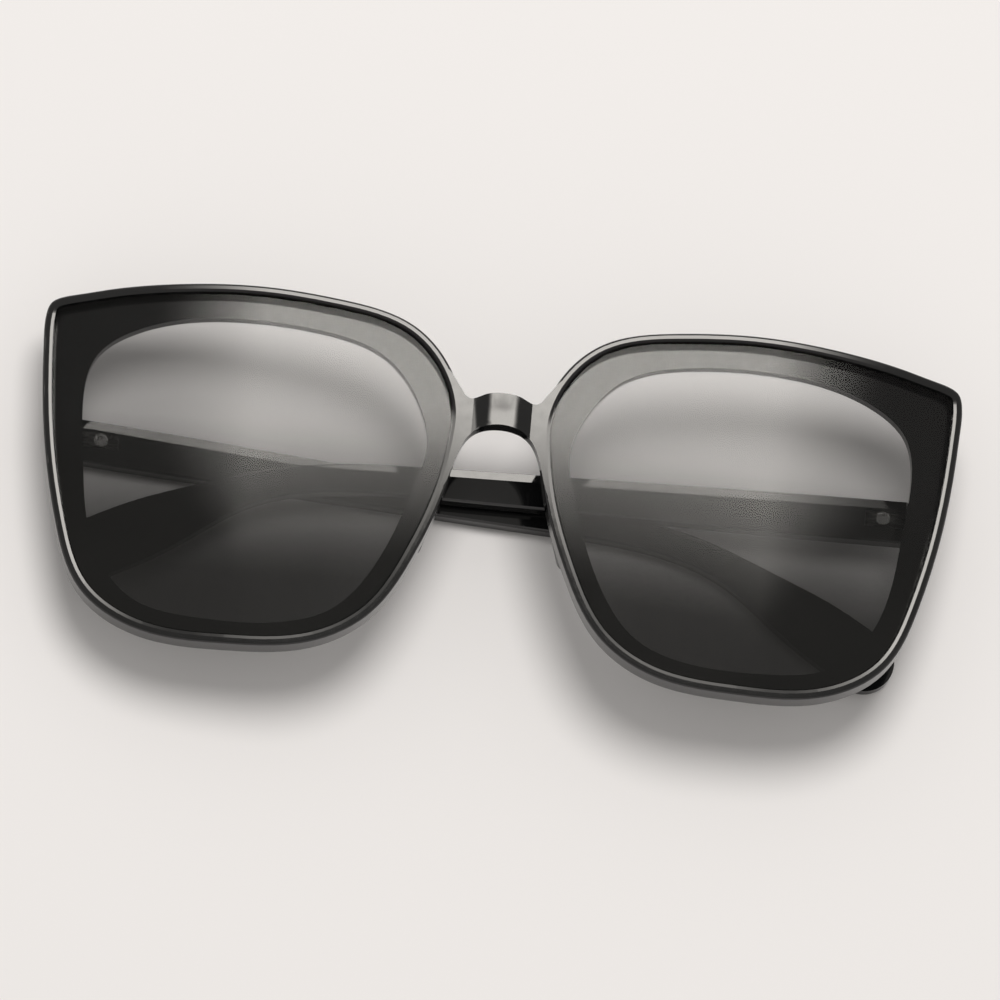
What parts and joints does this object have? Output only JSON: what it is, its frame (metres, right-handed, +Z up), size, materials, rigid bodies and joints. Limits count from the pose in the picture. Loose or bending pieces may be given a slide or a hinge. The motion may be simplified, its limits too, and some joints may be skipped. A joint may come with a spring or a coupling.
{
  "type": "oversized sunglasses",
  "caption": "Oversized square butterfly sunglasses in gloss black plastic with tinted lenses, folded on their temples with hinges that open.",
  "frame": {"origin": "centre of the footprint, on the table that the folded sunglasses lie on", "axes": "+X to the viewer's right across the front, +Y to the top of the lenses, +Z up from the table, out of the lenses"},
  "size_m": [0.1491, 0.0612, 0.0213],
  "materials": {
    "black_plastic": "polished black",
    "tinted_lens": "clear grey tint, darker below",
    "pad_plastic": "satin black",
    "leaf_metal": "blackened",
    "rivet_metal": "turned and blackened",
    "screw_metal": "turned"
  },
  "bodies": {
    "front": {"front_frame": "black_plastic", "left_lens": "tinted_lens", "right_lens": "tinted_lens", "left_nose_pad": "pad_plastic", "right_nose_pad": "pad_plastic", "left_front_hinge_leaf": "leaf_metal", "right_front_hinge_leaf": "leaf_metal", "left_front_rivet": "rivet_metal", "right_front_rivet": "rivet_metal", "left_hinge_screw": "screw_metal", "right_hinge_screw": "screw_metal"},
    "left_arm": {"left_temple": "black_plastic", "left_temple_hinge_leaf": "leaf_metal", "left_temple_rivet": "rivet_metal"},
    "right_arm": {"right_temple": "black_plastic", "right_temple_hinge_leaf": "leaf_metal", "right_temple_rivet": "rivet_metal"}
  },
  "joints": [
    {"name": "left_temple_hinge", "type": "hinge", "parent": "front", "child": "left_arm", "pos_m": [-0.06858, 0.0064, 0.0034], "axis": [0, 1, 0], "range_deg": [0, 88.45]},
    {"name": "right_temple_hinge", "type": "hinge", "parent": "front", "child": "right_arm", "pos_m": [0.06911, 0.0064, 0.0071], "axis": [0, -1, 0], "range_deg": [0, 91.5]}
  ]
}
